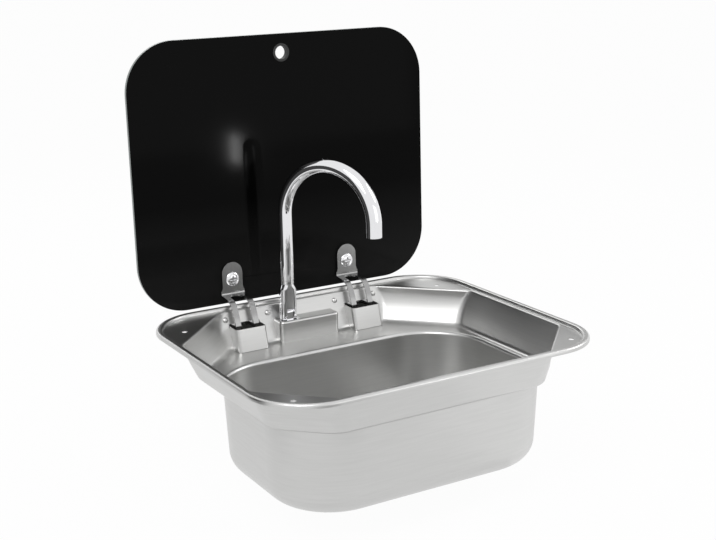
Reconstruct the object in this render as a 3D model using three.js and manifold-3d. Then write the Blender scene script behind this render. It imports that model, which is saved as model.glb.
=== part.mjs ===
// Drop-in sink with a hinged glass lid and a folding swan-neck tap. Millimetres, +Z up.
// Origin: centre of the rim outline, on the plane of the worktop that the rim rests on.
// The lid stands open at rest, the tap stands upright, the waste is closed by its plug.
import * as THREE from 'three';
import { mergeVertices } from 'three/addons/utils/BufferGeometryUtils.js';
import Module from 'manifold-3d';

const wasm = await Module();
wasm.setup();

// ---------------------------------------------------------------- driving dimensions
// rim and sheet
const RIM_LENGTH = 420;
const RIM_DEPTH = 360;
const RIM_CORNER = 70;
const RIM_HEIGHT = 5;
const BEAD_WIDTH = 8;
const BEAD_ROLL = 2.9;
const SHEET = 0.8;

// collar: an eight-sided tapered wall under the land; cuts are the diagonals' corner lengths
const LAND_STRIP = 1.5;
const FRONT_CUT = 72;
const BACK_CUT = 90;
const CUT_FILLET = 12;
const TOP_BEND = 4;
const SIDE_SLOPE = 0.39;
const BACK_SLOPE = 0.42;
const FRONT_SLOPE = 0.33;
const FOOT_BEND = 7;
const LEDGE_DEPTH = 43;

// lower bowl, clear sizes
const BOWL_HALF = 169.7;
const BOWL_FRONT = 144;
const BOWL_BACK = 93.4;
const BOWL_CORNER = 78;
const BOWL_DEPTH = 145.3;
const BOWL_DRAFT = 3.5;
const BOWL_EDGE = 4;
const FLOOR_FILLET = 25;

// fixing holes in the corner lands
const FIX_HOLE = 6.5;
const FIX_X = 175.5;
const FIX_FRONT = 145;
const FIX_BACK = 122;

// hinge axis of the lid, and how far it turns
const PIVOT_Y = 173.4;
const PIVOT_Z = -17.3;
const OPEN_ANGLE = 91;
const HINGE_X = 81;
const PIN_DIAMETER = 4;

// glass lid as it lies closed, from the hinge axis
const LID_LENGTH = 400.5;
const LID_DEPTH = 323;
const LID_CORNER = 60.5;
const GLASS = 5;
const GLASS_RISE = 18.6;
const LID_BACK = 20.9;
const FINGER_HOLE = 16;
const FINGER_INSET = 22.7;
const GROMMET_WALL = 1;
const GROMMET_FLANGE = 22;
const GROMMET_LIP = 0.8;

// hinge brackets
const BRACKET_WIDTH = 31;
const BRACKET_STEEL = 2.2;
const BRACKET_REACH = 72.9;
const BRACKET_BEND = 33.6;
const GASKET = 1;
const ARM_WIDTH = 7.2;
const EYE_DIAMETER = 9;
const SPOKE = 4.5;
const ARM_RADIUS = 27.4;

// screws that clamp the glass
const SCREW_REACH = 51.5;
const SCREW_HEAD = 17.5;
const SCREW_HEAD_HEIGHT = 2.8;
const SCREW_SHANK = 5;
const GLASS_BORE = 10;
const BUSH_WALL = 1.9;
const NUT_WASHER = 16;
const NUT_WIDTH = 13;

// hinge housings on the back wall
const HOUSING_WIDTH = 44;
const HOUSING_STEEL = 1;
const HOUSING_FRONT = 136;
const HOUSING_TOP = -16;
const HOUSING_REAR = 179.3;
const HOUSING_SWEEP = 31.3;
const HOUSING_CORNER = 5;
const WINDOW_TOP = -13.5;
const WINDOW_FRONT = 145;
const EAR_RIM = 5;
const EAR_TOP = -4.5;
const EAR_BOTTOM = -18;
const RIVET_OUTER = 23.4;
const RIVET_INNER = 33.5;
const RIVET_Z = -8.4;
const RIVET_HEAD = 7;
const RIVET_SHANK = 3.8;

// tap deck, a step raised from the ledge
const DECK_HALF = 42;
const DECK_FRONT = 140;
const DECK_TOP = -16.5;
const DECK_CORNER = 6;
const DECK_EDGE = 2;

// tap foot and fold joint
const TAP_X = -26.5;
const TAP_Y = 149;
const FOLD_Z = -7.4;
const FOOT_LENGTH = 28;
const FOOT_WIDTH = 15.4;
const FOOT_STEEL = 0.8;
const TONGUE = 9;
const TONGUE_RADIUS = 5;
const FOLD_PIN = 3.6;
const FORK_LENGTH = 20.6;
const FORK_WIDTH = 15.2;
const FORK_CORNER = 6;
const FORK_SHOULDER = 24.5;
const FORK_TOP = 29;
const SPIGOT = 12.6;
const SPIGOT_LENGTH = 14;
const SHANK = 10;
const SHANK_LENGTH = 22;
const SHANK_BORE = 6.2;
const TAP_WASHER = 15.6;
const TAP_NUT = 13.4;
const INLET_DIAMETER = 5.6;
const INLET_LENGTH = 44;

// swan-neck spout
const SPOUT_RADIUS = 63.4;
const SPOUT_SPRING = 116.3;
const SPOUT_DROP = 14.3;
const SPOUT_DIRECTION = 26;
const LEG_DIAMETER = 15.2;
const TIP_DIAMETER = 19;
const SPOUT_WALL = 1.2;
const COLLAR_DIAMETER = 16.6;
const COLLAR_HEIGHT = 5;
const AERATOR_DEPTH = 6;

// waste
const WASTE_Y = -25;
const DISH_DIAMETER = 78;
const DISH_FLAT = 70;
const DISH_DEPTH = 3;
const WASTE_HOLE = 52;
const FLANGE_DIAMETER = 66;
const FLANGE_STEEL = 1;
const CUP_DIAMETER = 48;
const CUP_DEPTH = 10;
const WASTE_SEAL = 0.8;
const WASTE_GASKET = 2;
const BODY_DIAMETER = 68;
const BODY_WALL = 2.5;
const BODY_DEPTH = 17;
const OUTLET_DIAMETER = 30;
const OUTLET_LENGTH = 9;
const TAIL_DIAMETER = 22;
const TAIL_DROP = 184;

// clearances
const SEAT = 0.3;
const RUNNING = 0.25;
const PIN_PLAY = 0.09;
const PASSING = 0.4;

// ---------------------------------------------------------------- solids
const rad = THREE.MathUtils.degToRad;

function signedVolume(position, index) {
  const [a, b, c] = [new THREE.Vector3(), new THREE.Vector3(), new THREE.Vector3()];
  let sum = 0;
  for (let k = 0; k < index.length; k += 3) {
    a.fromBufferAttribute(position, index[k]);
    b.fromBufferAttribute(position, index[k + 1]);
    c.fromBufferAttribute(position, index[k + 2]);
    sum += a.dot(b.cross(c));
  }
  return sum;
}

// a closed geometry as a solid for joins and cuts, its faces turned outwards
function solid(geometry, place = new THREE.Matrix4()) {
  const bare = geometry.clone().applyMatrix4(place);
  bare.deleteAttribute('normal');
  bare.deleteAttribute('uv');
  const merged = mergeVertices(bare, 1e-4);
  const all = merged.index.array;
  let index = [];
  for (let k = 0; k < all.length; k += 3) {
    const [i, j, l] = [all[k], all[k + 1], all[k + 2]];
    if (i !== j && j !== l && l !== i) index.push(i, j, l);
  }
  if (signedVolume(merged.attributes.position, index) < 0) index = index.reverse();
  return new wasm.Manifold(new wasm.Mesh({
    numProp: 3,
    vertProperties: new Float32Array(merged.attributes.position.array),
    triVerts: new Uint32Array(index),
  }));
}

function geometryOf(body) {
  const mesh = body.getMesh();
  const geometry = new THREE.BufferGeometry();
  geometry.setAttribute('position', new THREE.BufferAttribute(mesh.vertProperties, 3));
  geometry.setIndex(new THREE.BufferAttribute(mesh.triVerts, 1));
  geometry.computeVertexNormals();
  return geometry;
}

const join = (...bodies) => bodies.reduce((a, b) => a.add(b));
const cut = (body, ...tools) => tools.reduce((a, b) => a.subtract(b), body);

function box(x0, x1, y0, y1, z0, z1) {
  const g = new THREE.BoxGeometry(x1 - x0, y1 - y0, z1 - z0);
  return solid(g.translate((x0 + x1) / 2, (y0 + y1) / 2, (z0 + z1) / 2));
}

// round bars along x, y and z: radius, both ends, then the two other coordinates
function bar(radius, from, to, segments) {
  return new THREE.CylinderGeometry(radius, radius, to - from, segments).translate(0, (from + to) / 2, 0);
}

const rodX = (radius, from, to, y, z, segments = 18) =>
  solid(bar(radius, from, to, segments).rotateZ(-Math.PI / 2).translate(0, y, z));

const rodY = (radius, from, to, x, z, segments = 18) =>
  solid(bar(radius, from, to, segments).translate(x, 0, z));

const rodZ = (radius, from, to, x, y, segments = 18) =>
  solid(bar(radius, from, to, segments).rotateX(Math.PI / 2).translate(x, y, 0));

// a turned piece about a vertical axis at x, y; the profile is [radius, height] pairs
function turned(profile, x = 0, y = 0, segments = 24, place = undefined) {
  const points = profile.map(([r, h]) => new THREE.Vector2(r, h));
  const g = new THREE.LatheGeometry(points, segments);
  return solid(g.rotateX(Math.PI / 2).translate(x, y, 0), place);
}

// a turned ring with a bore: [inner radius, outer radius, bottom, top]
const ring = (inner, outer, z0, z1, x, y, segments) =>
  turned([[inner, z0], [outer, z0], [outer, z1], [inner, z1], [inner, z0]], x, y, segments);

const hexagon = (width, z0, z1, x, y) =>
  solid(bar(width / Math.sqrt(3), z0, z1, 6).rotateX(Math.PI / 2).translate(x, y, 0));

function roundedRect(x0, x1, y0, y1, r) {
  const s = new THREE.Shape();
  s.moveTo(x0 + r, y0);
  s.lineTo(x1 - r, y0);
  s.absarc(x1 - r, y0 + r, r, -Math.PI / 2, 0);
  s.lineTo(x1, y1 - r);
  s.absarc(x1 - r, y1 - r, r, 0, Math.PI / 2);
  s.lineTo(x0 + r, y1);
  s.absarc(x0 + r, y1 - r, r, Math.PI / 2, Math.PI);
  s.lineTo(x0, y0 + r);
  s.absarc(x0 + r, y0 + r, r, Math.PI, Math.PI * 1.5);
  return s;
}

function extruded(shape, depth, curveSegments) {
  return new THREE.ExtrudeGeometry(shape, { depth, bevelEnabled: false, curveSegments });
}

// a shape drawn in plan, from one height to another
const plate = (shape, z0, z1, curveSegments = 8) =>
  solid(extruded(shape, z1 - z0, curveSegments).translate(0, 0, z0));

// a shape drawn in side view (y, z), from one x to another
function sidePlate(shape, x0, x1, curveSegments = 8) {
  const g = extruded(shape, x1 - x0, curveSegments).rotateX(Math.PI / 2).rotateZ(Math.PI / 2);
  return solid(g.translate(x0, 0, 0));
}

const polygon = (points) => new THREE.Shape(points.map(([u, v]) => new THREE.Vector2(u, v)));

// the outline of a strip of even thickness along a path of points
function strip(points, thickness) {
  const left = [];
  const right = [];
  points.forEach((p, k) => {
    const before = points[Math.max(k - 1, 0)];
    const after = points[Math.min(k + 1, points.length - 1)];
    const along = after.clone().sub(before).normalize();
    const side = new THREE.Vector2(-along.y, along.x).multiplyScalar(thickness / 2);
    left.push(p.clone().add(side));
    right.push(p.clone().sub(side));
  });
  return new THREE.Shape([...left, ...right.reverse()]);
}

// ---------------------------------------------------------------- outlines and lofts
// One outline form serves every level of the basin: a rectangle with 45 degree corner cuts, the
// ends of each cut rounded. With a cut of ROUND times the fillet it becomes a round corner.
const ROUND = 2 - Math.SQRT2;
const ARC_STEPS = 3;

const level = (half, front, back, frontCut, backCut, frontFillet, backFillet, z) =>
  ({ half, front, back, frontCut, backCut, frontFillet, backFillet, z });

const roundLevel = (half, front, back, r, z) =>
  level(half, front, back, r * ROUND, r * ROUND, r, r, z);

// the level grown by d all round and raised by dz
function offsetLevel(a, d, dz) {
  return level(a.half + d, a.front + d, a.back + d, a.frontCut + d * ROUND, a.backCut + d * ROUND,
    a.frontFillet + d, a.backFillet + d, a.z + dz);
}

function outline(a) {
  const corners = [
    [1, 1, a.back, a.backCut, a.backFillet],
    [-1, 1, a.back, a.backCut, a.backFillet],
    [-1, -1, a.front, a.frontCut, a.frontFillet],
    [1, -1, a.front, a.frontCut, a.frontFillet],
  ];
  const points = [];
  for (const [sx, sy, reach, size, fillet] of corners) {
    const lead = fillet * Math.tan(Math.PI / 8);
    const arcs = [];
    for (const first of [true, false]) {
      const cx = first ? a.half - fillet : a.half - size - lead;
      const cy = first ? reach - size - lead : reach - fillet;
      const start = first ? 0 : Math.PI / 4;
      for (let k = 0; k <= ARC_STEPS; k++) {
        const t = start + (k / ARC_STEPS) * (Math.PI / 4);
        arcs.push([sx * (cx + fillet * Math.cos(t)), sy * (cy + fillet * Math.sin(t))]);
      }
    }
    if (sx * sy < 0) arcs.reverse();
    for (const [x, y] of arcs) points.push(new THREE.Vector3(x, y, a.z));
  }
  return points;
}

// a closed skin through rings of equal count, ends closed by a fan, or joined up as a loop
function loft(rings, loop = false) {
  const n = rings[0].length;
  const positions = [];
  for (const one of rings) for (const p of one) positions.push(p.x, p.y, p.z);
  const index = [];
  for (let r = 0; r < (loop ? rings.length : rings.length - 1); r++) {
    const next = ((r + 1) % rings.length) * n;
    for (let k = 0; k < n; k++) {
      const l = (k + 1) % n;
      index.push(r * n + k, r * n + l, next + l, r * n + k, next + l, next + k);
    }
  }
  for (const first of loop ? [] : [0, (rings.length - 1) * n]) {
    const centre = new THREE.Vector3();
    for (let k = 0; k < n; k++) centre.add(rings[first / n][k]);
    centre.divideScalar(n);
    const hub = positions.length / 3;
    positions.push(centre.x, centre.y, centre.z);
    for (let k = 0; k < n; k++) {
      const edge = [first + k, first + ((k + 1) % n)];
      if (first === 0) edge.reverse();
      index.push(hub, edge[0], edge[1]);
    }
  }
  const g = new THREE.BufferGeometry();
  g.setAttribute('position', new THREE.BufferAttribute(new Float32Array(positions), 3));
  g.setIndex(index);
  return g;
}

// a block with round upright corners and a rounded top edge
function softBlock(x0, x1, y0, y1, z0, z1, corner, edge) {
  const [hx, hy] = [(x1 - x0) / 2, (y1 - y0) / 2];
  const levels = [roundLevel(hx, hy, hy, corner, z0)];
  for (const t of [0, 30, 60, 90]) {
    const inset = edge * (1 - Math.cos(rad(t)));
    levels.push(roundLevel(hx - inset, hy - inset, hy - inset, corner - inset,
      z1 - edge + edge * Math.sin(rad(t))));
  }
  return solid(loft(levels.map(outline)).translate((x0 + x1) / 2, (y0 + y1) / 2, 0));
}

// ---------------------------------------------------------------- basin
const LAND = SHEET;
const RECESS = BEAD_WIDTH + 0.9;
const OPENING = RECESS + LAND_STRIP - 0.9;

const rimLevel = (inset, z) => roundLevel(
  RIM_LENGTH / 2 - inset, RIM_DEPTH / 2 - inset, RIM_DEPTH / 2 - inset, RIM_CORNER - inset, z);

const bowlLevel = (inset, z) => roundLevel(
  BOWL_HALF - inset, BOWL_FRONT - inset, BOWL_BACK - inset, BOWL_CORNER - inset * 0.9, z);

// how far the collar has come in, on a side of the given slope, at a height below the land
const WALL_LEAN = Math.atan(BACK_SLOPE);
const WALL_START = LAND - TOP_BEND * (1 - Math.sin(WALL_LEAN));
const WALL_END = -LEDGE_DEPTH + FOOT_BEND * (1 - Math.sin(WALL_LEAN));

function collarInset(slope, z) {
  if (z >= WALL_START) {
    const t = Math.acos(1 - (LAND - z) / TOP_BEND);
    return TOP_BEND * Math.sin(t);
  }
  const straight = TOP_BEND * Math.cos(WALL_LEAN) + slope * (WALL_START - Math.max(z, WALL_END));
  if (z >= WALL_END) return straight;
  const t = Math.acos(Math.min(1 - (z + LEDGE_DEPTH) / FOOT_BEND, 1));
  return straight + FOOT_BEND * (Math.cos(WALL_LEAN) - Math.sin(t));
}

// y of the visible face of the back wall
const backWall = (z) => RIM_DEPTH / 2 - OPENING - collarInset(BACK_SLOPE, z);

// the corner cuts shrink on the way down while their fillets grow
function collarLevel(z) {
  const t = (LAND - z) / (LAND + LEDGE_DEPTH);
  const swift = 1 - (1 - t) ** 3;
  return level(
    RIM_LENGTH / 2 - OPENING - collarInset(SIDE_SLOPE, z),
    RIM_DEPTH / 2 - OPENING - collarInset(FRONT_SLOPE, z),
    backWall(z),
    FRONT_CUT - 18 * swift - 6 * t,
    BACK_CUT - 13 * swift - 5 * t,
    CUT_FILLET + 24 * t,
    CUT_FILLET + 9 * t,
    z);
}

// levels down the visible face of the sheet, from the lip to the floor
function basinLevels() {
  const shoulder = RIM_HEIGHT - BEAD_ROLL;
  const out = [rimLevel(0, 0)];
  for (const t of [0, 30, 60, 90]) {
    out.push(rimLevel(BEAD_ROLL * (1 - Math.cos(rad(t))), shoulder + BEAD_ROLL * Math.sin(rad(t))));
  }
  for (const t of [90, 60, 30, 0]) {
    out.push(rimLevel(BEAD_WIDTH - BEAD_ROLL * (1 - Math.cos(rad(t))),
      shoulder + BEAD_ROLL * Math.sin(rad(t))));
  }
  out.push(rimLevel(BEAD_WIDTH + 0.2, LAND + 0.4), { ...rimLevel(RECESS, LAND), flat: true });
  out.push({ ...collarLevel(LAND), flat: true });
  for (const t of [0.33, 0.67, 1]) {
    const turn = t * (Math.PI / 2 - WALL_LEAN);
    out.push(collarLevel(LAND - TOP_BEND * (1 - Math.cos(turn))));
  }
  for (const t of [0.2, 0.45, 0.72, 1]) out.push(collarLevel(WALL_START + (WALL_END - WALL_START) * t));
  for (const t of [0.35, 0.7, 1]) {
    const turn = (1 - t) * (Math.PI / 2 - WALL_LEAN);
    out.push(collarLevel(-LEDGE_DEPTH + FOOT_BEND * (1 - Math.cos(turn))));
  }
  for (const t of [0, 30, 60, 90]) {
    out.push(bowlLevel(-BOWL_EDGE * (1 - Math.sin(rad(t))),
      -LEDGE_DEPTH - BOWL_EDGE * (1 - Math.cos(rad(t)))));
  }
  for (const t of [0, 18, 36, 54, 72, 90]) {
    out.push(bowlLevel(BOWL_DRAFT + FLOOR_FILLET * (1 - Math.cos(rad(t))),
      FLOOR_FILLET - BOWL_DEPTH - FLOOR_FILLET * Math.sin(rad(t))));
  }
  return out;
}

// the same levels pushed off the visible face of the sheet by a distance along its normal
function pushedLevels(levels, distance) {
  const last = levels.length - 1;
  return levels.map((a, k) => {
    const before = levels[Math.max(k - 1, 0)];
    const after = levels[Math.min(k + 1, last)];
    const run = k === 0 ? 0 : after.half - before.half;
    const rise = k === last || a.flat ? 0 : after.z - before.z;
    const length = Math.hypot(run, rise);
    return offsetLevel(a, (distance * rise) / length, (-distance * run) / length);
  });
}

const face = basinLevels();

// a fan closes both skins at the floor; the two skins meet at the lip
function basinShell() {
  const back = pushedLevels(face, -SHEET);
  const rings = [...face.slice().reverse(), ...back].map(outline);
  return solid(loft(rings));
}

function wastePress() {
  const floor = -BOWL_DEPTH;
  const [wide, flat, hole] = [DISH_DIAMETER / 2, DISH_FLAT / 2, WASTE_HOLE / 2];
  return turned([
    [wide + 2, floor], [wide, floor], [flat, floor - DISH_DEPTH], [hole, floor - DISH_DEPTH],
    [hole, floor - DISH_DEPTH - SHEET], [flat - 0.4, floor - DISH_DEPTH - SHEET],
    [wide - 0.4, floor - SHEET], [wide + 2, floor - SHEET], [wide + 2, floor],
  ], 0, WASTE_Y, 36);
}

const wallTilt = (x, z) => new THREE.Matrix4()
  .makeTranslation(x, backWall(z), z)
  .multiply(new THREE.Matrix4().makeRotationX(Math.PI / 2 - Math.atan(BACK_SLOPE)));

// the two rivets beside a hinge: the one towards the corner, then the one towards the middle
const rivetPlaces = (hinge) => [
  hinge + Math.sign(hinge) * RIVET_OUTER,
  hinge - Math.sign(hinge) * RIVET_INNER,
];

const rivetBores = (radius, hinge) => rivetPlaces(hinge).map((x) =>
  turned([[0, 6], [radius, 6], [radius, -6], [0, -6]], 0, 0, 12, wallTilt(x, RIVET_Z)));

function basin() {
  let body = basinShell();
  const inner = pushedLevels(face, -SHEET / 2).slice(face.findIndex((a) => a.flat) + 1);
  const tub = solid(loft(inner.map(outline)));
  const reach = RIM_DEPTH / 2;
  const step = softBlock(-DECK_HALF, DECK_HALF, DECK_FRONT, reach, -LEDGE_DEPTH - SHEET / 2, DECK_TOP,
    DECK_CORNER, DECK_EDGE);
  const hollow = softBlock(-DECK_HALF + SHEET, DECK_HALF - SHEET, DECK_FRONT + SHEET, reach + 40,
    -LEDGE_DEPTH - 9, DECK_TOP - SHEET, DECK_CORNER - SHEET, DECK_EDGE - SHEET);
  body = cut(join(body, tub.intersect(step)), hollow);
  body = cut(body, rodZ(SHANK / 2 + RUNNING, DECK_TOP - 5, DECK_TOP + 5, TAP_X, TAP_Y));
  for (const x of [-HINGE_X, HINGE_X]) {
    const half = HOUSING_WIDTH / 2 + PASSING;
    body = cut(body, box(x - half, x + half, WINDOW_FRONT, reach + 20, -LEDGE_DEPTH - 9, WINDOW_TOP));
    body = cut(body, ...rivetBores(RIVET_SHANK / 2 + SEAT, x));
  }
  for (const x of [-FIX_X, FIX_X]) {
    for (const y of [-FIX_FRONT, FIX_BACK]) {
      body = cut(body, rodZ(FIX_HOLE / 2, -3, 3, x, y, 20));
    }
  }
  const mouth = rodZ(DISH_DIAMETER / 2 + 1, -BOWL_DEPTH - 5, -BOWL_DEPTH + 5, 0, WASTE_Y, 36);
  return join(cut(body, mouth), wastePress());
}

// ---------------------------------------------------------------- hinge housings
const EAR_SETBACK = SHEET / Math.cos(Math.atan(BACK_SLOPE)) + SEAT;

function hingeHousing(x) {
  const [half, t] = [HOUSING_WIDTH / 2, HOUSING_STEEL];
  const floor = -LEDGE_DEPTH + SEAT;
  const well = PIVOT_Z - HOUSING_SWEEP;
  const crest = PIVOT_Z + EYE_DIAMETER / 2 + t / 2;
  const outer = polygon([
    [HOUSING_FRONT, HOUSING_TOP], [HOUSING_FRONT, floor], [WINDOW_FRONT + 1, floor],
    [WINDOW_FRONT + 5.3, well - t], [HOUSING_REAR, well - t], [HOUSING_REAR, crest],
    [backWall(crest) + EAR_SETBACK + 0.5, crest], [backWall(crest) + EAR_SETBACK + 0.5, HOUSING_TOP],
  ]);
  const inner = polygon([
    [HOUSING_FRONT + t, 0], [HOUSING_FRONT + t, floor + t], [WINDOW_FRONT + 1.5, floor + t],
    [WINDOW_FRONT + 5.9, well], [HOUSING_REAR - t, well], [HOUSING_REAR - t, 0],
  ]);
  const rear = HOUSING_REAR + 20;
  const shell = sidePlate(outer, x - half, x + half).intersect(
    plate(roundedRect(x - half, x + half, HOUSING_FRONT, rear, HOUSING_CORNER), -90, 20, 5));
  const room = sidePlate(inner, x - half + t, x + half - t).intersect(
    plate(roundedRect(x - half + t, x + half - t, HOUSING_FRONT + t, rear, HOUSING_CORNER - t), -90, 20, 5));
  const ear = sidePlate(polygon([
    [backWall(EAR_TOP) + EAR_SETBACK, EAR_TOP],
    [backWall(EAR_TOP) + EAR_SETBACK + t, EAR_TOP],
    [backWall(EAR_BOTTOM) + EAR_SETBACK + t, EAR_BOTTOM],
    [backWall(EAR_BOTTOM) + EAR_SETBACK, EAR_BOTTOM],
  ]), Math.min(...rivetPlaces(x)) - EAR_RIM, Math.max(...rivetPlaces(x)) + EAR_RIM);
  const gate = box(x - half + t, x + half - t, HOUSING_FRONT + t, HOUSING_REAR - t, -30, crest);
  let body = join(cut(shell, room), cut(ear, gate));
  const cheek = BRACKET_WIDTH / 2 + 2 * RUNNING;
  for (const side of [-1, 1]) {
    const ends = [x + side * cheek, x + side * (half - t / 2)].sort((a, b) => a - b);
    body = join(body, rodX(PIN_DIAMETER, ends[0], ends[1], PIVOT_Y, PIVOT_Z));
  }
  const bore = rodX(PIN_DIAMETER / 2 + RUNNING / 2, x - half - 1, x + half + 1, PIVOT_Y, PIVOT_Z);
  return cut(body, bore, ...rivetBores(RIVET_SHANK / 2 + SEAT, x));
}

function housingRivet(x) {
  const [head, shank] = [RIVET_HEAD / 2, RIVET_SHANK / 2];
  const behind = -(EAR_SETBACK + HOUSING_STEEL) * Math.cos(Math.atan(BACK_SLOPE)) - SEAT;
  const profile = [
    [0, head * 0.6], [head * 0.45, head * 0.53], [head * 0.8, head * 0.35], [head, SEAT],
    [shank, SEAT], [shank, behind], [head * 0.64, behind], [head * 0.64, behind - 0.8],
    [head * 0.4, behind - 1.5], [0, behind - 1.5],
  ];
  return turned(profile, 0, 0, 16, wallTilt(x, RIVET_Z));
}

// the pin's ends are upset into small heads outside the cheeks
function hingePin(x) {
  const half = HOUSING_WIDTH / 2;
  return join(
    rodX(PIN_DIAMETER / 2, x - half - 1, x + half + 1, PIVOT_Y, PIVOT_Z),
    rodX(PIN_DIAMETER * 0.8, x - half - 1.6, x - half - SEAT, PIVOT_Y, PIVOT_Z),
    rodX(PIN_DIAMETER * 0.8, x + half + SEAT, x + half + 1.6, PIVOT_Y, PIVOT_Z));
}

// ---------------------------------------------------------------- lid, drawn closed, from its axis
const LID_FRONT = LID_BACK + LID_DEPTH;
const GLASS_TOP = GLASS_RISE + GLASS;
const PLATE_TOP = GLASS_RISE - GASKET - 2 * SEAT;
const PLATE_FACE = PLATE_TOP - BRACKET_STEEL;
const FINGER_Y = -LID_FRONT + FINGER_INSET;

function glassLid() {
  const half = LID_LENGTH / 2;
  const sheet = plate(roundedRect(-half, half, -LID_FRONT, -LID_BACK, LID_CORNER), GLASS_RISE, GLASS_TOP, 12);
  const finger = rodZ(FINGER_HOLE / 2 + GROMMET_WALL + SEAT, 0, 60, 0, FINGER_Y, 28);
  const bores = [-HINGE_X, HINGE_X].map((x) => rodZ(GLASS_BORE / 2, 0, 60, x, -SCREW_REACH));
  return cut(sheet, finger, ...bores);
}

function lidGrommet() {
  const [bore, wall, flange] = [FINGER_HOLE / 2, FINGER_HOLE / 2 + GROMMET_WALL, GROMMET_FLANGE / 2];
  const [low, high] = [GLASS_RISE - SEAT, GLASS_TOP + SEAT];
  return turned([
    [bore, low - GROMMET_LIP], [flange, low - GROMMET_LIP], [flange, low], [wall, low],
    [wall, high], [flange, high], [flange, high + GROMMET_LIP], [bore, high + GROMMET_LIP],
    [bore, low - GROMMET_LIP],
  ], 0, FINGER_Y, 28);
}

// a tongue of the given half width, its far end round
function tongueShape(x, half, far, near) {
  const s = new THREE.Shape();
  s.moveTo(x + half, -near);
  s.lineTo(x - half, -near);
  s.lineTo(x - half, -far + half);
  s.absarc(x, -far + half, half, Math.PI, Math.PI * 2);
  return s;
}

// side path of an arm: off the plate, down and round under the axis
function armPath() {
  const centre = PLATE_TOP - BRACKET_STEEL / 2;
  const path = new THREE.Path();
  path.moveTo(-BRACKET_BEND - 4, centre);
  path.lineTo(-BRACKET_BEND - 1, centre);
  path.quadraticCurveTo(-BRACKET_BEND + 1.4, centre, -BRACKET_BEND + 2.3, centre - 2.2);
  path.splineThru([
    [-27.9, 6.1], [-25.7, -5.9], [-22.8, -15.8], [-17.2, -23.6], [-8.8, -ARM_RADIUS],
    [SPOKE / 2, -ARM_RADIUS],
  ].map(([y, z]) => new THREE.Vector2(y, z)));
  return path.getPoints(3);
}

function hingeBracket(x) {
  const half = BRACKET_WIDTH / 2;
  const slot = half - ARM_WIDTH;
  const tongue = plate(tongueShape(x, half, BRACKET_REACH, BRACKET_BEND + 3), PLATE_FACE, PLATE_TOP, 10);
  const arms = join(
    sidePlate(strip(armPath(), BRACKET_STEEL), x - half, x + half),
    box(x - half, x + half, -SPOKE / 2, SPOKE / 2, -ARM_RADIUS - BRACKET_STEEL / 2, 0),
    rodX(EYE_DIAMETER / 2, x - half, x + half, 0, 0));
  const slotTop = PLATE_FACE - 2.6 - slot;
  const opening = join(
    box(x - slot, x + slot, -60, 40, -60, slotTop),
    rodY(slot, -60, 40, x, slotTop, 24));
  return cut(join(tongue, cut(arms, opening)),
    rodX(PIN_DIAMETER / 2 + PIN_PLAY, x - half - 1, x + half + 1, 0, 0),
    rodZ(SCREW_SHANK / 2 + PASSING, 0, 60, x, -SCREW_REACH));
}

const bracketGasket = (x) => cut(
  plate(tongueShape(x, BRACKET_WIDTH / 2 - 0.5, BRACKET_REACH - 0.5, BRACKET_BEND + 3),
    PLATE_TOP + SEAT, GLASS_RISE - SEAT, 10),
  rodZ(SCREW_SHANK / 2 + PASSING, 0, 60, x, -SCREW_REACH));

function lidScrew(x) {
  const [head, shank] = [SCREW_HEAD / 2, SCREW_SHANK / 2];
  const seat = PLATE_FACE - SEAT;
  const low = seat - SCREW_HEAD_HEIGHT;
  const recess = low + SCREW_HEAD_HEIGHT * 0.55;
  return cut(
    turned([
      [0, low], [head * 0.5, low + 0.15], [head * 0.82, low + 0.9], [head, seat - 0.5], [head, seat],
      [shank, seat], [shank, GLASS_TOP + 6.4], [0, GLASS_TOP + 6.4],
    ], x, -SCREW_REACH),
    box(x - 4.4, x + 4.4, -SCREW_REACH - 0.9, -SCREW_REACH + 0.9, low - 1, recess),
    box(x - 0.9, x + 0.9, -SCREW_REACH - 4.4, -SCREW_REACH + 4.4, low - 1, recess));
}

const lidBush = (x) => ring(
  GLASS_BORE / 2 - SEAT - BUSH_WALL, GLASS_BORE / 2 - SEAT, GLASS_RISE, GLASS_TOP, x, -SCREW_REACH, 18);

const lidWasher = (x) => ring(
  SCREW_SHANK / 2 + SEAT, NUT_WASHER / 2, GLASS_TOP + SEAT, GLASS_TOP + SEAT + 1, x, -SCREW_REACH, 20);

function lidNut(x) {
  const low = GLASS_TOP + 2 * SEAT + 1;
  const dome = NUT_WIDTH * 0.44;
  return cut(
    join(
      hexagon(NUT_WIDTH, low, low + 3.6, x, -SCREW_REACH),
      turned([
        [0, low + 3], [dome, low + 3], [dome, low + 4.2], [dome * 0.8, low + 6.2],
        [dome * 0.4, low + 7.2], [0, low + 7.4],
      ], x, -SCREW_REACH, 18)),
    rodZ(SCREW_SHANK / 2 + SEAT, low - 1, GLASS_TOP + 6.4 + SEAT, x, -SCREW_REACH));
}

// ---------------------------------------------------------------- tap
const DECK_UNDER = DECK_TOP - SHEET;
const FOOT_TOP = DECK_TOP + FOOT_STEEL;

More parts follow.
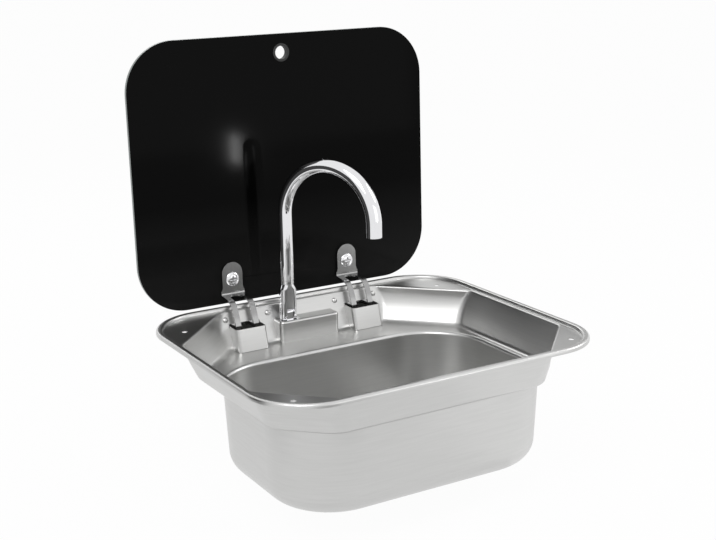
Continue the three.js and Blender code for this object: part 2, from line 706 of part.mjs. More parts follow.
// foot plate on the deck, tongue above it, threaded shank below it, all one piece
function tapBase() {
  const [hx, hy] = [FOOT_LENGTH / 2, FOOT_WIDTH / 2];
  const foot = plate(roundedRect(TAP_X - hx, TAP_X + hx, TAP_Y - hy, TAP_Y + hy, hy - 0.01),
    DECK_TOP, FOOT_TOP, 8);
  const s = new THREE.Shape();
  s.moveTo(TAP_Y - TONGUE_RADIUS, DECK_TOP);
  s.lineTo(TAP_Y + TONGUE_RADIUS, DECK_TOP);
  s.absarc(TAP_Y, FOLD_Z, TONGUE_RADIUS, 0, Math.PI);
  return cut(
    join(foot, sidePlate(s, TAP_X - TONGUE / 2, TAP_X + TONGUE / 2, 12),
      rodZ(SHANK / 2, DECK_TOP - SHANK_LENGTH, FOOT_TOP - 0.1, TAP_X, TAP_Y)),
    rodX(FOLD_PIN / 2 + PIN_PLAY, TAP_X - 20, TAP_X + 20, TAP_Y, FOLD_Z),
    rodZ(SHANK_BORE / 2, DECK_TOP - SHANK_LENGTH - 1, DECK_TOP - 3, TAP_X, TAP_Y));
}

function tapFork() {
  const [hx, hy] = [FORK_LENGTH / 2, FORK_WIDTH / 2];
  const top = COLLAR_DIAMETER / 2 - 0.3;
  const body = solid(loft([
    roundLevel(hx, hy, hy, FORK_CORNER, FOLD_Z - hy - 2),
    roundLevel(hx, hy, hy, FORK_CORNER, FORK_SHOULDER - 2),
    roundLevel(hx - 0.7, hy, hy, FORK_CORNER + 0.4, FORK_SHOULDER),
    roundLevel(top + 0.3, top - 0.2, top - 0.2, top - 0.5, FORK_TOP - 1.5),
    roundLevel(top, top, top, top, FORK_TOP),
  ].map(outline)).translate(TAP_X, TAP_Y, 0));
  const side = new THREE.Shape();
  side.moveTo(TAP_Y + hy, FOLD_Z);
  side.lineTo(TAP_Y + hy + 3, FORK_TOP - 8);
  side.lineTo(TAP_Y + hy + 3, FORK_TOP + 5);
  side.lineTo(TAP_Y - hy - 3, FORK_TOP + 5);
  side.lineTo(TAP_Y - hy - 3, FORK_TOP - 8);
  side.lineTo(TAP_Y - hy, FOLD_Z);
  side.absarc(TAP_Y, FOLD_Z, hy, Math.PI, Math.PI * 2);
  const slot = TONGUE / 2 + SEAT;
  return cut(
    join(body.intersect(sidePlate(side, TAP_X - 30, TAP_X + 30, 12)),
      rodZ(SPIGOT / 2, FORK_TOP - 1, FORK_TOP + SPIGOT_LENGTH, TAP_X, TAP_Y)),
    box(TAP_X - slot, TAP_X + slot, TAP_Y - 20, TAP_Y + 20, FOLD_Z - 20, FOLD_Z + TONGUE_RADIUS + 0.6),
    rodX(FOLD_PIN / 2 + RUNNING / 2, TAP_X - 20, TAP_X + 20, TAP_Y, FOLD_Z));
}

const foldPin = () => rodX(
  FOLD_PIN / 2, TAP_X - FORK_LENGTH / 2 + SEAT, TAP_X + FORK_LENGTH / 2 - SEAT, TAP_Y, FOLD_Z);

const SPOUT_SIDES = 22;
const SPOUT_FOOT = FORK_TOP + SEAT;
const SPOUT_MOUTH = SPOUT_SPRING - SPOUT_DROP;

// stations along the spout: centre point, direction, outer radius
function spoutStations() {
  const a = rad(SPOUT_DIRECTION);
  const away = new THREE.Vector3(Math.sin(a), -Math.cos(a), 0);
  const up = new THREE.Vector3(0, 0, 1);
  const at = (out, z) => new THREE.Vector3(TAP_X, TAP_Y, z).addScaledVector(away, out);
  const [leg, tip] = [LEG_DIAMETER / 2, TIP_DIAMETER / 2];
  const out = [
    { point: at(0, SPOUT_FOOT), along: up.clone(), radius: leg },
    { point: at(0, SPOUT_SPRING - 30), along: up.clone(), radius: leg },
  ];
  const steps = 18;
  for (let k = 0; k <= steps; k++) {
    const t = Math.PI * (k / steps);
    out.push({
      point: at(SPOUT_RADIUS * (1 - Math.cos(t)), SPOUT_SPRING + SPOUT_RADIUS * Math.sin(t)),
      along: away.clone().multiplyScalar(Math.sin(t)).addScaledVector(up, Math.cos(t)),
      radius: leg + (tip - leg) * (k / steps),
    });
  }
  out.push({ point: at(2 * SPOUT_RADIUS, SPOUT_MOUTH), along: up.clone().negate(), radius: tip });
  return { out, across: new THREE.Vector3().crossVectors(up, away).normalize() };
}

function spoutRing({ point, along, radius }, across, inset) {
  const other = new THREE.Vector3().crossVectors(along, across);
  const points = [];
  for (let k = 0; k < SPOUT_SIDES; k++) {
    const t = (k / SPOUT_SIDES) * Math.PI * 2;
    points.push(point.clone()
      .addScaledVector(across, (radius - inset) * Math.cos(t))
      .addScaledVector(other, (radius - inset) * Math.sin(t)));
  }
  return points;
}

function tapSpout() {
  const { out, across } = spoutStations();
  const outer = out.map((s) => spoutRing(s, across, 0));
  const inner = out.map((s) => spoutRing(s, across, SPOUT_WALL)).reverse();
  return solid(loft([...outer, ...inner], true));
}

const swivelCollar = () => ring(
  LEG_DIAMETER / 2 + RUNNING / 2, COLLAR_DIAMETER / 2, SPOUT_FOOT, SPOUT_FOOT + COLLAR_HEIGHT,
  TAP_X, TAP_Y, 20);

function aerator() {
  const a = rad(SPOUT_DIRECTION);
  const [x, y] = [TAP_X + 2 * SPOUT_RADIUS * Math.sin(a), TAP_Y - 2 * SPOUT_RADIUS * Math.cos(a)];
  const outer = TIP_DIAMETER / 2 - SPOUT_WALL - RUNNING;
  const disc = ring(0.9, outer - 0.5, SPOUT_MOUTH + 1.4, SPOUT_MOUTH + 2.4, x, y, 20);
  const holes = [0, 1, 2, 3, 4, 5].map((k) => rodZ(1.1, SPOUT_MOUTH, SPOUT_MOUTH + 5,
    x + 4.2 * Math.cos(k * Math.PI / 3), y + 4.2 * Math.sin(k * Math.PI / 3), 8));
  return join(ring(outer - 1.4, outer, SPOUT_MOUTH + 0.4, SPOUT_MOUTH + AERATOR_DEPTH, x, y, 20),
    cut(disc, ...holes));
}

const tapSeal = () => ring(SHANK / 2 + RUNNING, TAP_WASHER / 2 - 1, DECK_UNDER - 1.6, DECK_UNDER,
  TAP_X, TAP_Y, 20);

const tapWasher = () => ring(SHANK / 2 + RUNNING, TAP_WASHER / 2, DECK_UNDER - 2.8, DECK_UNDER - 1.6,
  TAP_X, TAP_Y, 20);

const tapNut = () => cut(
  hexagon(TAP_NUT, DECK_UNDER - 8.8, DECK_UNDER - 2.8, TAP_X, TAP_Y),
  rodZ(SHANK / 2 + RUNNING, DECK_UNDER - 20, DECK_UNDER, TAP_X, TAP_Y));

const tapInlet = () => ring(INLET_DIAMETER / 2 - 1, INLET_DIAMETER / 2,
  DECK_TOP - INLET_LENGTH, DECK_TOP - 6, TAP_X, TAP_Y, 20);

// ---------------------------------------------------------------- waste
const DISH = -BOWL_DEPTH - DISH_DEPTH;
const BRIM = DISH + WASTE_SEAL;
const CUP_FLOOR = BRIM - CUP_DEPTH;
const GASKET_LOW = DISH - SHEET - WASTE_GASKET;
const BODY_LOW = GASKET_LOW - BODY_DEPTH;
const OUTLET_LOW = BODY_LOW - OUTLET_LENGTH;
const WASTE_SCREW = 5;

function wasteFlange() {
  const [brim, cup, t] = [FLANGE_DIAMETER / 2, CUP_DIAMETER / 2, FLANGE_STEEL];
  const bore = WASTE_SCREW / 2 + RUNNING;
  const body = turned([
    [bore, CUP_FLOOR], [cup, CUP_FLOOR], [cup, BRIM], [brim, BRIM], [brim, BRIM + t * 0.6],
    [brim - 1, BRIM + t], [cup - t, BRIM + t], [cup - t, CUP_FLOOR + t], [bore, CUP_FLOOR + t],
    [bore, CUP_FLOOR],
  ], 0, WASTE_Y, 26);
  const holes = [];
  for (let k = 0; k < 12; k++) {
    const reach = k % 2 ? 18 : 11.5;
    holes.push(rodZ(2.2, CUP_FLOOR - 2, CUP_FLOOR + 3, reach * Math.cos(k * Math.PI / 6),
      WASTE_Y + reach * Math.sin(k * Math.PI / 6), 8));
  }
  return cut(body, ...holes);
}

const wasteSeal = () => ring(CUP_DIAMETER / 2 + RUNNING, FLANGE_DIAMETER / 2 - 1, DISH, BRIM, 0, WASTE_Y, 26);

const wasteGasket = () => ring(WASTE_HOLE / 2 + RUNNING, BODY_DIAMETER / 2 - 1, GASKET_LOW, DISH - SHEET,
  0, WASTE_Y, 26);

function wasteBody() {
  const [outer, t] = [BODY_DIAMETER / 2, BODY_WALL];
  const wall = WASTE_HOLE / 2 + t;
  const [mouth, bore] = [OUTLET_DIAMETER / 2, OUTLET_DIAMETER / 2 - t];
  const shell = turned([
    [wall - t, GASKET_LOW], [outer, GASKET_LOW], [outer, GASKET_LOW - 3], [wall, GASKET_LOW - 3],
    [wall, BODY_LOW + 4], [mouth + 2, BODY_LOW], [mouth, BODY_LOW], [mouth, OUTLET_LOW],
    [bore, OUTLET_LOW], [bore, BODY_LOW + 1], [wall - t, BODY_LOW + 5], [wall - t, GASKET_LOW],
  ], 0, WASTE_Y, 26);
  const hub = CUP_FLOOR - 1.5;
  const ribs = [0, 1].map((k) => {
    const reach = wall - t / 2;
    const arm = new THREE.BoxGeometry(2 * reach, 2, 5).rotateZ(k * Math.PI / 2);
    return solid(arm.translate(0, WASTE_Y, hub - 2.5));
  });
  return cut(join(shell, ...ribs, rodZ(5, hub - 6, hub, 0, WASTE_Y, 16)),
    rodZ(WASTE_SCREW / 2 + RUNNING, hub - 20, hub + 5, 0, WASTE_Y, 16));
}

function wasteScrew() {
  const seat = CUP_FLOOR + FLANGE_STEEL;
  const body = turned([
    [0, seat + 2.2], [2.6, seat + 2.1], [4, seat + 1.2], [4.3, seat], [WASTE_SCREW / 2, seat],
    [WASTE_SCREW / 2, CUP_FLOOR - 7], [0, CUP_FLOOR - 7],
  ], 0, WASTE_Y, 18);
  return cut(body, box(-6, 6, WASTE_Y - 0.6, WASTE_Y + 0.6, seat + 1.1, seat + 4));
}

// rubber plug: a cone that closes the cup's mouth, hollow below, with a pull knob
function wastePlug() {
  const r = CUP_DIAMETER / 2 - FLANGE_STEEL - RUNNING;
  const top = BRIM + 1.2;
  return turned([
    [0, top + 6], [4.2, top + 5.8], [5.2, top + 4.6], [4, top + 2.8], [2.8, top + 0.4], [r - 1.2, top],
    [r, top - 0.8], [r - 1.4, top - 5.4], [r - 3.4, top - 5.4], [r - 3.8, top - 2.2], [0, top - 2.2],
  ], 0, WASTE_Y, 26);
}

const wasteNut = () => cut(
  join(
    ring(OUTLET_DIAMETER / 2 + RUNNING, OUTLET_DIAMETER / 2 + 4, OUTLET_LOW + 1, BODY_LOW - 1, 0, WASTE_Y, 26),
    ring(TAIL_DIAMETER / 2 + RUNNING, OUTLET_DIAMETER / 2 + 4, OUTLET_LOW - 2.6, OUTLET_LOW + 1.2,
      0, WASTE_Y, 26)),
  rodZ(OUTLET_DIAMETER / 2 + RUNNING, OUTLET_LOW - 0.1, OUTLET_LOW + 2, 0, WASTE_Y, 26),
  ...[...Array(12).keys()].map((k) => rodZ(1.2, -200, -100,
    (OUTLET_DIAMETER / 2 + 4.4) * Math.cos(k * Math.PI / 6),
    WASTE_Y + (OUTLET_DIAMETER / 2 + 4.4) * Math.sin(k * Math.PI / 6), 8)));

const wasteTail = () => ring(TAIL_DIAMETER / 2 - 2, TAIL_DIAMETER / 2, -TAIL_DROP, BODY_LOW - 2, 0, WASTE_Y, 22);

// ---------------------------------------------------------------- assembly
const look = (color, roughness, metalness) => new THREE.MeshStandardMaterial({
  color, roughness, metalness, flatShading: true,
});
const LOOKS = {
  pressed_steel: look(0xc9c9c7, 0.3, 1),
  bracket_steel: look(0x8c8c8c, 0.38, 1),
  chrome: look(0xe2e2e4, 0.06, 1),
  black_glass: look(0x141414, 0.05, 0),
  rubber: look(0x1b1b1b, 0.7, 0),
  white_plastic: look(0xd9d8d2, 0.45, 0),
};

const sink = new THREE.Group();
sink.name = 'sink';
const lid = new THREE.Group();
lid.name = 'lid';
lid.position.set(0, PIVOT_Y, PIVOT_Z);
lid.rotation.x = -rad(OPEN_ANGLE);
sink.add(lid);

function piece(parent, name, material, body) {
  const mesh = new THREE.Mesh(geometryOf(body), LOOKS[material]);
  mesh.name = name;
  parent.add(mesh);
}

piece(sink, 'basin', 'pressed_steel', basin());
piece(lid, 'glass_lid', 'black_glass', glassLid());
piece(lid, 'lid_grommet', 'rubber', lidGrommet());

for (const [side, x] of [['left', -HINGE_X], ['right', HINGE_X]]) {
  piece(sink, `hinge_housing_${side}`, 'pressed_steel', hingeHousing(x));
  rivetPlaces(x).forEach((place, k) => {
    piece(sink, `housing_rivet_${side}_${k + 1}`, 'pressed_steel', housingRivet(place));
  });
  piece(sink, `hinge_pin_${side}`, 'bracket_steel', hingePin(x));
  piece(lid, `hinge_bracket_${side}`, 'bracket_steel', hingeBracket(x));
  piece(lid, `bracket_gasket_${side}`, 'rubber', bracketGasket(x));
  piece(lid, `lid_screw_${side}`, 'chrome', lidScrew(x));
  piece(lid, `lid_bush_${side}`, 'white_plastic', lidBush(x));
  piece(lid, `lid_washer_${side}`, 'white_plastic', lidWasher(x));
  piece(lid, `lid_nut_${side}`, 'chrome', lidNut(x));
}

piece(sink, 'tap_base', 'chrome', tapBase());
piece(sink, 'tap_seal', 'rubber', tapSeal());
piece(sink, 'tap_washer', 'bracket_steel', tapWasher());
piece(sink, 'tap_nut', 'bracket_steel', tapNut());
piece(sink, 'tap_inlet', 'chrome', tapInlet());
piece(sink, 'tap_fork', 'chrome', tapFork());
piece(sink, 'fold_pin', 'bracket_steel', foldPin());
piece(sink, 'swivel_collar', 'chrome', swivelCollar());
piece(sink, 'tap_spout', 'chrome', tapSpout());
piece(sink, 'aerator', 'white_plastic', aerator());

piece(sink, 'waste_flange', 'pressed_steel', wasteFlange());
piece(sink, 'waste_seal', 'rubber', wasteSeal());
piece(sink, 'waste_gasket', 'rubber', wasteGasket());
piece(sink, 'waste_body', 'white_plastic', wasteBody());
piece(sink, 'waste_screw', 'bracket_steel', wasteScrew());
piece(sink, 'waste_plug', 'rubber', wastePlug());
piece(sink, 'waste_nut', 'white_plastic', wasteNut());
piece(sink, 'waste_tail', 'white_plastic', wasteTail());

export default sink;
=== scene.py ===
import math
import bpy
from mathutils import Matrix, Vector


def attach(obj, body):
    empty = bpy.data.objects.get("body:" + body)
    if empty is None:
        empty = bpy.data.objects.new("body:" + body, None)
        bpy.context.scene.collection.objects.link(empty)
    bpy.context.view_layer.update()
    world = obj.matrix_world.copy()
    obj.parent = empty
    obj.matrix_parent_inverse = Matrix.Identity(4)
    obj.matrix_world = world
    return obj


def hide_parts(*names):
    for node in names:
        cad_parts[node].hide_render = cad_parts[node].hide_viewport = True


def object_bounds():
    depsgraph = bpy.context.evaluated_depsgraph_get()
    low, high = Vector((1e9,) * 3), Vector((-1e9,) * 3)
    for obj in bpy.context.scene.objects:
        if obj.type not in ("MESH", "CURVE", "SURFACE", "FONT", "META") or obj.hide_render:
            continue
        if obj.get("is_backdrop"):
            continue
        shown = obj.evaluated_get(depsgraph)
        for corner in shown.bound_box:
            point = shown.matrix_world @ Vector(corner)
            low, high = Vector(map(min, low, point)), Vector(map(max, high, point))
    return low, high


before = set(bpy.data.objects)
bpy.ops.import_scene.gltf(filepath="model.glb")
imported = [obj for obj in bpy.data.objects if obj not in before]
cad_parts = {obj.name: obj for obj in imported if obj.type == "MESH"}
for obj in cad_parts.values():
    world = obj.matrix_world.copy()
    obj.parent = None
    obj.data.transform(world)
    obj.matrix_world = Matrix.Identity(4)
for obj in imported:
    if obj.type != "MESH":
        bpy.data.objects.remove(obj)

cad_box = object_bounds()
scene = bpy.context.scene
scene.view_settings.view_transform = "Standard"

# ---- Camera: the photograph's own standpoint, left of the sink and a little above the rim,
# with the slight roll that the picture has.
EYE = Vector((-0.72664, -1.21037, 0.45482))
TARGET = Vector((-0.03048, -0.02859, 0.08613))
ROLL = math.radians(-1.03)
ahead = (TARGET - EYE).normalized()
level_right = ahead.cross(Vector((0, 0, 1))).normalized()
level_up = level_right.cross(ahead)
right = level_right * math.cos(ROLL) + level_up * math.sin(ROLL)
up = level_up * math.cos(ROLL) - level_right * math.sin(ROLL)
camera_data = bpy.data.cameras.new("camera")
camera_data.lens = 65.216
camera_data.sensor_width = 36
camera_data.clip_start = 0.05
camera_data.clip_end = 30
camera = bpy.data.objects.new("camera", camera_data)
scene.collection.objects.link(camera)
camera.matrix_world = Matrix.Translation(EYE) @ Matrix((right, up, -ahead)).transposed().to_4x4()
scene.camera = camera

# ---- Basin: one blank of 0.8 mm stainless sheet, deep drawn with a rolled lip, a flat land, a
# sloping collar with cut corners, a ledge and a round-cornered bowl. The deck for the tap is
# pressed up out of the ledge, and the hinge windows, fixing holes and waste dish are struck last.
MM = 0.001
SHEET = 0.8
HALF_LENGTH = 210
HALF_DEPTH = 180
LIP_CORNER = 70
LIP_HEIGHT = 5
BEAD_WIDTH = 8
BEAD_ROLL = 2.9
LAND = 0.8
OPENING = 9.5
FRONT_CUT = 72
BACK_CUT = 90
CUT_FILLET = 12
TOP_BEND = 4
FOOT_BEND = 7
LEDGE = -43
SIDE_SLOPE = 0.42
BACK_SLOPE = 0.42
FRONT_SLOPE = 0.33
LEAN = math.atan(BACK_SLOPE)
WALL_START = LAND - TOP_BEND * (1 - math.sin(LEAN))
WALL_END = LEDGE + FOOT_BEND * (1 - math.sin(LEAN))
BOWL_SIDE_INSET = 40.3
BOWL_FRONT_INSET = 36
BOWL_BACK_INSET = 86.6
BOWL_CORNER = 78
BOWL_EDGE = 4
BOWL_DRAFT = 3.5
BOWL_FLOOR = -145.3
FLOOR_FILLET = 25
DECK_HALF = 41
DECK_FRONT = 140
DECK_TOP = -16.5
DECK_CORNER = 6
DECK_EDGE = 2.6
HINGE_X = 81
WINDOW_HALF = 20.9
WINDOW_FRONT = 145
WINDOW_TOP = -13.5
RIVET_OUTER = 23.4
RIVET_INNER = 33.5
RIVET_Z = -8.4
RIVET_BORE = 2.2
TAP_X = -26.5
TAP_Y = 149
SHANK_BORE = 5.25
FIX_X = 175.5
FIX_FRONT = -145
FIX_BACK = 122
FIX_BORE = 3.25
WASTE_Y = -25
DISH_BORE = 40


def round_corner(half, front, back, radius, z):
    """One level of the pressing whose four corners are plain arcs."""
    cut = radius * (2 - math.sqrt(2))
    return [half, front, back, cut, cut, radius, radius, z]


def lip_level(inset, z):
    side = HALF_DEPTH - inset
    return round_corner(HALF_LENGTH - inset, side, side, LIP_CORNER - inset, z)


def bowl_level(inset, z):
    return round_corner(HALF_LENGTH - BOWL_SIDE_INSET - inset,
                        HALF_DEPTH - BOWL_FRONT_INSET - inset,
                        HALF_DEPTH - BOWL_BACK_INSET - inset, BOWL_CORNER - inset * 0.9, z)


def come_in(slope, z):
    """How far the collar has come in from its top edge at a height, on a side of that slope."""
    if z >= WALL_START:
        return TOP_BEND * math.sin(math.acos(1 - (LAND - z) / TOP_BEND))
    straight = TOP_BEND * math.cos(LEAN) + slope * (WALL_START - max(z, WALL_END))
    if z >= WALL_END:
        return straight
    turn = math.acos(min(1 - (z - LEDGE) / FOOT_BEND, 1))
    return straight + FOOT_BEND * (math.cos(LEAN) - math.sin(turn))


def collar_level(z):
    """One level of the collar, whose corner cuts narrow and grow rounder towards the ledge."""
    t = (LAND - z) / (LAND - LEDGE)
    swift = 1 - (1 - t) ** 3
    return [HALF_LENGTH - OPENING - come_in(SIDE_SLOPE, z),
            HALF_DEPTH - OPENING - come_in(FRONT_SLOPE, z),
            HALF_DEPTH - OPENING - come_in(BACK_SLOPE, z),
            FRONT_CUT - 12 * swift - 4 * t - 8 * t ** 6,
            BACK_CUT - 13 * swift - 5 * t,
            CUT_FILLET + 24 * t, CUT_FILLET + 9 * t, z]


def pressing_levels():
    """The visible face from the lip over the bead and down to the floor, and its flat levels."""
    shoulder = LIP_HEIGHT - BEAD_ROLL
    arc = [math.radians(a) for a in range(0, 91, 15)]
    roll = [(BEAD_ROLL * (1 - math.cos(t)), shoulder + BEAD_ROLL * math.sin(t)) for t in arc]
    levels = [lip_level(0, 0)]
    levels += [lip_level(inset, z) for inset, z in roll]
    levels += [lip_level(BEAD_WIDTH - inset, z) for inset, z in reversed(roll)]
    levels.append(lip_level(BEAD_WIDTH + 0.2, LAND + 0.4))
    levels.append(lip_level(BEAD_WIDTH + 0.9, LAND))
    levels.append(collar_level(LAND))
    flats = (len(levels) - 2, len(levels) - 1)
    quarter = math.pi / 2 - LEAN
    for k in range(1, 7):
        levels.append(collar_level(LAND - TOP_BEND * (1 - math.cos(k / 6 * quarter))))
    for k in range(1, 10):
        levels.append(collar_level(WALL_START + (WALL_END - WALL_START) * k / 9))
    for k in range(1, 8):
        levels.append(collar_level(LEDGE + FOOT_BEND * (1 - math.cos((1 - k / 7) * quarter))))
    levels += [bowl_level(-BOWL_EDGE * (1 - math.sin(t)), LEDGE - BOWL_EDGE * (1 - math.cos(t)))
               for t in arc]
    for k in range(11):
        t = math.radians(9 * k)
        levels.append(bowl_level(BOWL_DRAFT + FLOOR_FILLET * (1 - math.cos(t)),
                                 FLOOR_FILLET + BOWL_FLOOR - FLOOR_FILLET * math.sin(t)))
    return levels, flats


def pushed(levels, flats, distance):
    """The levels moved off the visible face along its normal: the sheet's other side."""
    moved = []
    for k, level in enumerate(levels):
        before, after = levels[max(k - 1, 0)], levels[min(k + 1, len(levels) - 1)]
        run = 0 if k == 0 else after[0] - before[0]
        rise = 0 if k == len(levels) - 1 or k in flats else after[7] - before[7]
        length = math.hypot(run, rise)
        out, lift = distance * rise / length, -distance * run / length
        cut = out * (2 - math.sqrt(2))
        steps = (out, out, out, cut, cut, out, out, lift)
        moved.append([value + step for value, step in zip(level, steps)])
    return moved


def level_points(level):
    """The ring of points of one level, ten to each of its eight rounded corners."""
    half, front, back, front_cut, back_cut, front_fillet, back_fillet, z = level
    points = []
    for sx, sy in ((1, 1), (-1, 1), (-1, -1), (1, -1)):
        reach, size, fillet = ((back, back_cut, back_fillet) if sy > 0
                               else (front, front_cut, front_fillet))
        lead = fillet * math.tan(math.pi / 8)
        arc = []
        for cx, cy, start in ((half - fillet, reach - size - lead, 0),
                              (half - size - lead, reach - fillet, math.pi / 4)):
            for k in range(10):
                t = start + k / 9 * math.pi / 4
                x, y = cx + fillet * math.cos(t), cy + fillet * math.sin(t)
                arc.append((sx * x * MM, sy * y * MM, z * MM))
        if sx * sy < 0:
            arc.reverse()
        points += arc
    return points


def draw(name, points, edges, faces):
    """A new piece from points in metres and the edges or faces between them."""
    mesh = bpy.data.meshes.new(name)
    mesh.from_pydata(points, edges, faces)
    piece = bpy.data.objects.new(name, mesh)
    scene.collection.objects.link(piece)
    return piece


def pick(piece):
    """Only this piece selected and active."""
    bpy.ops.object.select_all(action="DESELECT")
    bpy.context.view_layer.objects.active = piece
    piece.select_set(True)


def edit(piece):
    """Only this piece selected and open in edit mode, all of its mesh selected."""
    pick(piece)
    bpy.ops.object.mode_set(mode="EDIT")
    bpy.ops.mesh.select_all(action="SELECT")


def loft(name, levels):
    """A closed skin drawn through the levels, its two ends capped."""
    rings = [level_points(level) for level in levels]
    n = len(rings[0])
    faces = [(r * n + k, r * n + (k + 1) % n, (r + 1) * n + (k + 1) % n, (r + 1) * n + k)
             for r in range(len(rings) - 1) for k in range(n)]
    faces += [tuple(range(n)), tuple(range((len(rings) - 1) * n, len(rings) * n))]
    piece = draw(name, [point for ring in rings for point in ring], [], faces)
    edit(piece)
    bpy.ops.mesh.remove_doubles(threshold=0.01 * MM)
    bpy.ops.mesh.dissolve_degenerate(threshold=0.001 * MM)
    bpy.ops.mesh.normals_make_consistent(inside=False)
    bpy.ops.object.mode_set(mode="OBJECT")
    return piece


def carve(piece, tool, how="DIFFERENCE"):
    """Cut a second solid away, join it on or keep what is common, and throw the tool away."""
    strike = piece.modifiers.new("strike", "BOOLEAN")
    strike.operation = how
    strike.solver = "EXACT"
    strike.object = tool
    bpy.ops.object.select_all(action="DESELECT")
    bpy.context.view_layer.objects.active = piece
    bpy.ops.object.modifier_apply(modifier="strike")
    bpy.data.objects.remove(tool)


def settle(piece):
    """Leave the object at the origin, with its place in its mesh."""
    pick(piece)
    bpy.ops.object.transform_apply(location=True, rotation=True, scale=True)
    return piece


def block(low, high):
    bpy.ops.object.select_all(action="DESELECT")
    bpy.ops.mesh.primitive_cube_add(size=1, location=[(a + b) / 2 * MM for a, b in zip(low, high)],
                                    scale=[(b - a) * MM for a, b in zip(low, high)])
    return settle(bpy.context.object)


def rod(radius, centre, length, turn=(0, 0, 0), sides=48):
    bpy.ops.object.select_all(action="DESELECT")
    bpy.ops.mesh.primitive_cylinder_add(vertices=sides, radius=radius * MM, depth=length * MM,
                                        location=[c * MM for c in centre], rotation=turn)
    return settle(bpy.context.object)


def choose_edges(test):
    """Select the edges of the mesh in edit mode whose end points, in mm, pass the test."""
    bpy.ops.mesh.select_mode(type="EDGE")
    bpy.ops.mesh.select_all(action="DESELECT")
    bpy.ops.object.mode_set(mode="OBJECT")
    mesh = bpy.context.object.data
    for part in mesh.edges:
        part.select = test([mesh.vertices[v].co / MM for v in part.vertices])
    bpy.ops.object.mode_set(mode="EDIT")


def upright(ends):
    return abs(ends[0].z - ends[1].z) > 1


def deck_block(low, high, corner, edge):
    """A block with round upright corners and a rounded top edge."""
    piece = block(low, high)
    edit(piece)
    choose_edges(upright)
    bpy.ops.mesh.bevel(offset=corner * MM, segments=8, affect="EDGES")
    choose_edges(lambda ends: min(ends[0].z, ends[1].z) > high[2] - 0.01)
    bpy.ops.mesh.bevel(offset=edge * MM, segments=6, affect="EDGES")
    bpy.ops.object.mode_set(mode="OBJECT")
    return piece


def close_up():
    """Merge the doubles of the mesh in edit mode, turn its faces outwards and leave edit mode."""
    bpy.ops.mesh.select_all(action="SELECT")
    bpy.ops.mesh.remove_doubles(threshold=0.01 * MM)
    bpy.ops.mesh.normals_make_consistent(inside=False)
    bpy.ops.object.mode_set(mode="OBJECT")


def turned(name, profile, x, y):
    """A turned or pressed round piece: its section drawn beside the axis and spun once round."""
    points = [((x + r) * MM, y * MM, z * MM) for r, z in profile]
    piece = draw(name, points, [(k, k + 1) for k in range(len(points) - 1)], [])
    edit(piece)
    bpy.ops.mesh.spin(steps=64, angle=math.tau, center=(x * MM, y * MM, 0), axis=(0, 0, 1))
    close_up()
    return piece


def fit(piece, node, body, material, angle=35):
    """Smooth the curves, keep the edges, and let the piece stand for its CAD node."""
    piece.data.materials.clear()
    piece.data.materials.append(material)
    pick(piece)
    bpy.ops.object.shade_smooth_by_angle(angle=math.radians(angle))
    even = piece.modifiers.new("even", "WEIGHTED_NORMAL")
    even.keep_sharp = True
    even.weight = 60
    bpy.ops.object.modifier_apply(modifier="even")
    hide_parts(node)
    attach(piece, body)
    return piece


def linear(code):
    """An sRGB hex colour as linear red, green, blue and alpha."""
    parts = [int(code[i:i + 2], 16) / 255 for i in (1, 3, 5)]
    return [c / 12.92 if c <= 0.04045 else ((c + 0.055) / 1.055) ** 2.4 for c in parts] + [1]


def add(tree, kind, links=None, **settings):
    """One node: settings are its properties, or with a leading i_ its inputs' values."""
    node = tree.nodes.new(kind)
    for key, value in settings.items():
        if key.startswith("i_"):
            node.inputs[key[2:].replace("_", " ")].default_value = value
        else:
            setattr(node, key, value)
    for socket, source in (links or {}).items():
        tree.links.new(source, node.inputs[socket])
    return node


def surface(name, **values):
    """A new material with those constants on its shader: itself, its nodes and its coordinates."""
    material = bpy.data.materials.new(name)
    material.use_nodes = True
    tree = material.node_tree
    shader = tree.nodes["Principled BSDF"]
    for key, value in values.items():
        shader.inputs[key.replace("_", " ")].default_value = value
    return material, tree, shader, add(tree, "ShaderNodeTexCoord").outputs["Object"]


# Type 304 stainless sheet with the satin of a drawing press: neutral grey, soft reflections.
# The press leaves broad, faint clouds about 35 mm across and drawing lines a few tenths of a
# millimetre wide, drawn here 2 mm wide so that they show at all.
pressed, tree, shader, place = surface("satin_pressed_stainless", Metallic=1.0)
cloud = add(tree, "ShaderNodeTexNoise", {"Vector": place}, i_Scale=1 / 0.035, i_Detail=1.0)
rough = add(tree, "ShaderNodeMapRange", {"Value": cloud.outputs["Fac"]},
            i_To_Min=0.3, i_To_Max=0.34)
drawn = add(tree, "ShaderNodeMapping", {"Vector": place}, i_Scale=(25, 25, 500))
lines = add(tree, "ShaderNodeTexNoise", {"Vector": drawn.outputs["Vector"]},
            i_Scale=1.0, i_Detail=2.0)
tint = add(tree, "ShaderNodeMix", {"Factor": lines.outputs["Fac"]}, data_type="RGBA",
           i_A=linear("#C3C3C2"), i_B=linear("#CDCDCC"))
tree.links.new(tint.outputs["Result"], shader.inputs["Base Color"])
tree.links.new(rough.outputs["Result"], shader.inputs["Roughness"])

